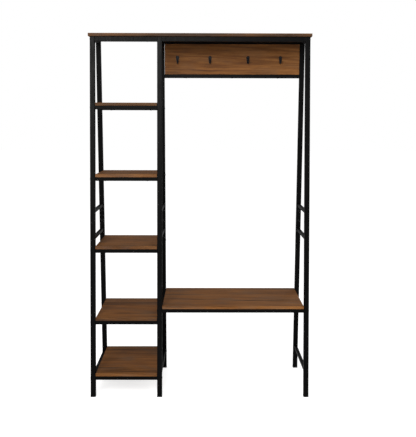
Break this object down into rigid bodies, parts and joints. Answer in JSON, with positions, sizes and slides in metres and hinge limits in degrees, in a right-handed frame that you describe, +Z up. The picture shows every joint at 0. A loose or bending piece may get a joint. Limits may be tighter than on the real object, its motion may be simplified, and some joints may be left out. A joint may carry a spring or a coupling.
{
  "type": "hall tree",
  "caption": "Free-standing hall tree: A-shaped tube side frames, a narrow stack of shelves on the left, a bench seat on the right, a top board and a panel with coat hooks.",
  "frame": {"origin": "on the floor, under the middle of the object's box", "axes": "+X to the right along the width, +Y from front to rear, +Z up; the front faces -Y"},
  "size_m": [1.12, 0.4574, 1.829],
  "materials": {
    "wood_board": "satin wood-grain laminate, grain along the board's length",
    "black_frame": "satin black powder coat",
    "hook_metal": "semi-gloss dark enamel",
    "black_fasteners": "black zinc",
    "zinc_steel": "zinc plated",
    "foot_plastic": "moulded matte black"
  },
  "bodies": {
    "root": {"board_screws": "black_fasteners", "coat_hook_1": "hook_metal", "coat_hook_2": "hook_metal", "coat_hook_3": "hook_metal", "coat_hook_4": "hook_metal", "connector_screws": "black_fasteners", "foot_caps": "foot_plastic", "hook_panel": "wood_board", "hook_panel_rail": "black_frame", "hook_screws": "black_fasteners", "left_bottom_cross_tube": "black_frame", "left_front_leg_lower": "black_frame", "left_front_leg_upper": "black_frame", "left_lower_cross_tube": "black_frame", "left_rear_leg_lower": "black_frame", "left_rear_leg_upper": "black_frame", "left_top_cross_tube": "black_frame", "left_upper_cross_tube": "black_frame", "leg_connectors": "zinc_steel", "middle_bottom_cross_tube": "black_frame", "middle_front_leg_lower": "black_frame", "middle_front_leg_upper": "black_frame", "middle_lower_cross_tube": "black_frame", "middle_rear_leg_lower": "black_frame", "middle_rear_leg_upper": "black_frame", "middle_top_cross_tube": "black_frame", "middle_upper_cross_tube": "black_frame", "rail_bolts": "black_fasteners", "rail_nuts": "zinc_steel", "right_bottom_cross_tube": "black_frame", "right_front_leg_lower": "black_frame", "right_front_leg_upper": "black_frame", "right_lower_cross_tube": "black_frame", "right_rear_leg_lower": "black_frame", "right_rear_leg_upper": "black_frame", "right_top_cross_tube": "black_frame", "right_upper_cross_tube": "black_frame", "seat_board": "wood_board", "seat_front_rail": "black_frame", "seat_rear_rail": "black_frame", "shelf_board_1": "wood_board", "shelf_board_2": "wood_board", "shelf_board_3": "wood_board", "shelf_board_4": "wood_board", "shelf_board_5": "wood_board", "shelf_front_rail_1": "black_frame", "shelf_front_rail_2": "black_frame", "shelf_front_rail_3": "black_frame", "shelf_front_rail_4": "black_frame", "shelf_front_rail_5": "black_frame", "shelf_rear_rail_1": "black_frame", "shelf_rear_rail_2": "black_frame", "shelf_rear_rail_3": "black_frame", "shelf_rear_rail_4": "black_frame", "shelf_rear_rail_5": "black_frame", "top_board": "wood_board", "top_front_rail_left": "black_frame", "top_front_rail_right": "black_frame", "top_rail_stud": "zinc_steel", "top_rear_rail": "black_frame"}
  },
  "joints": []
}
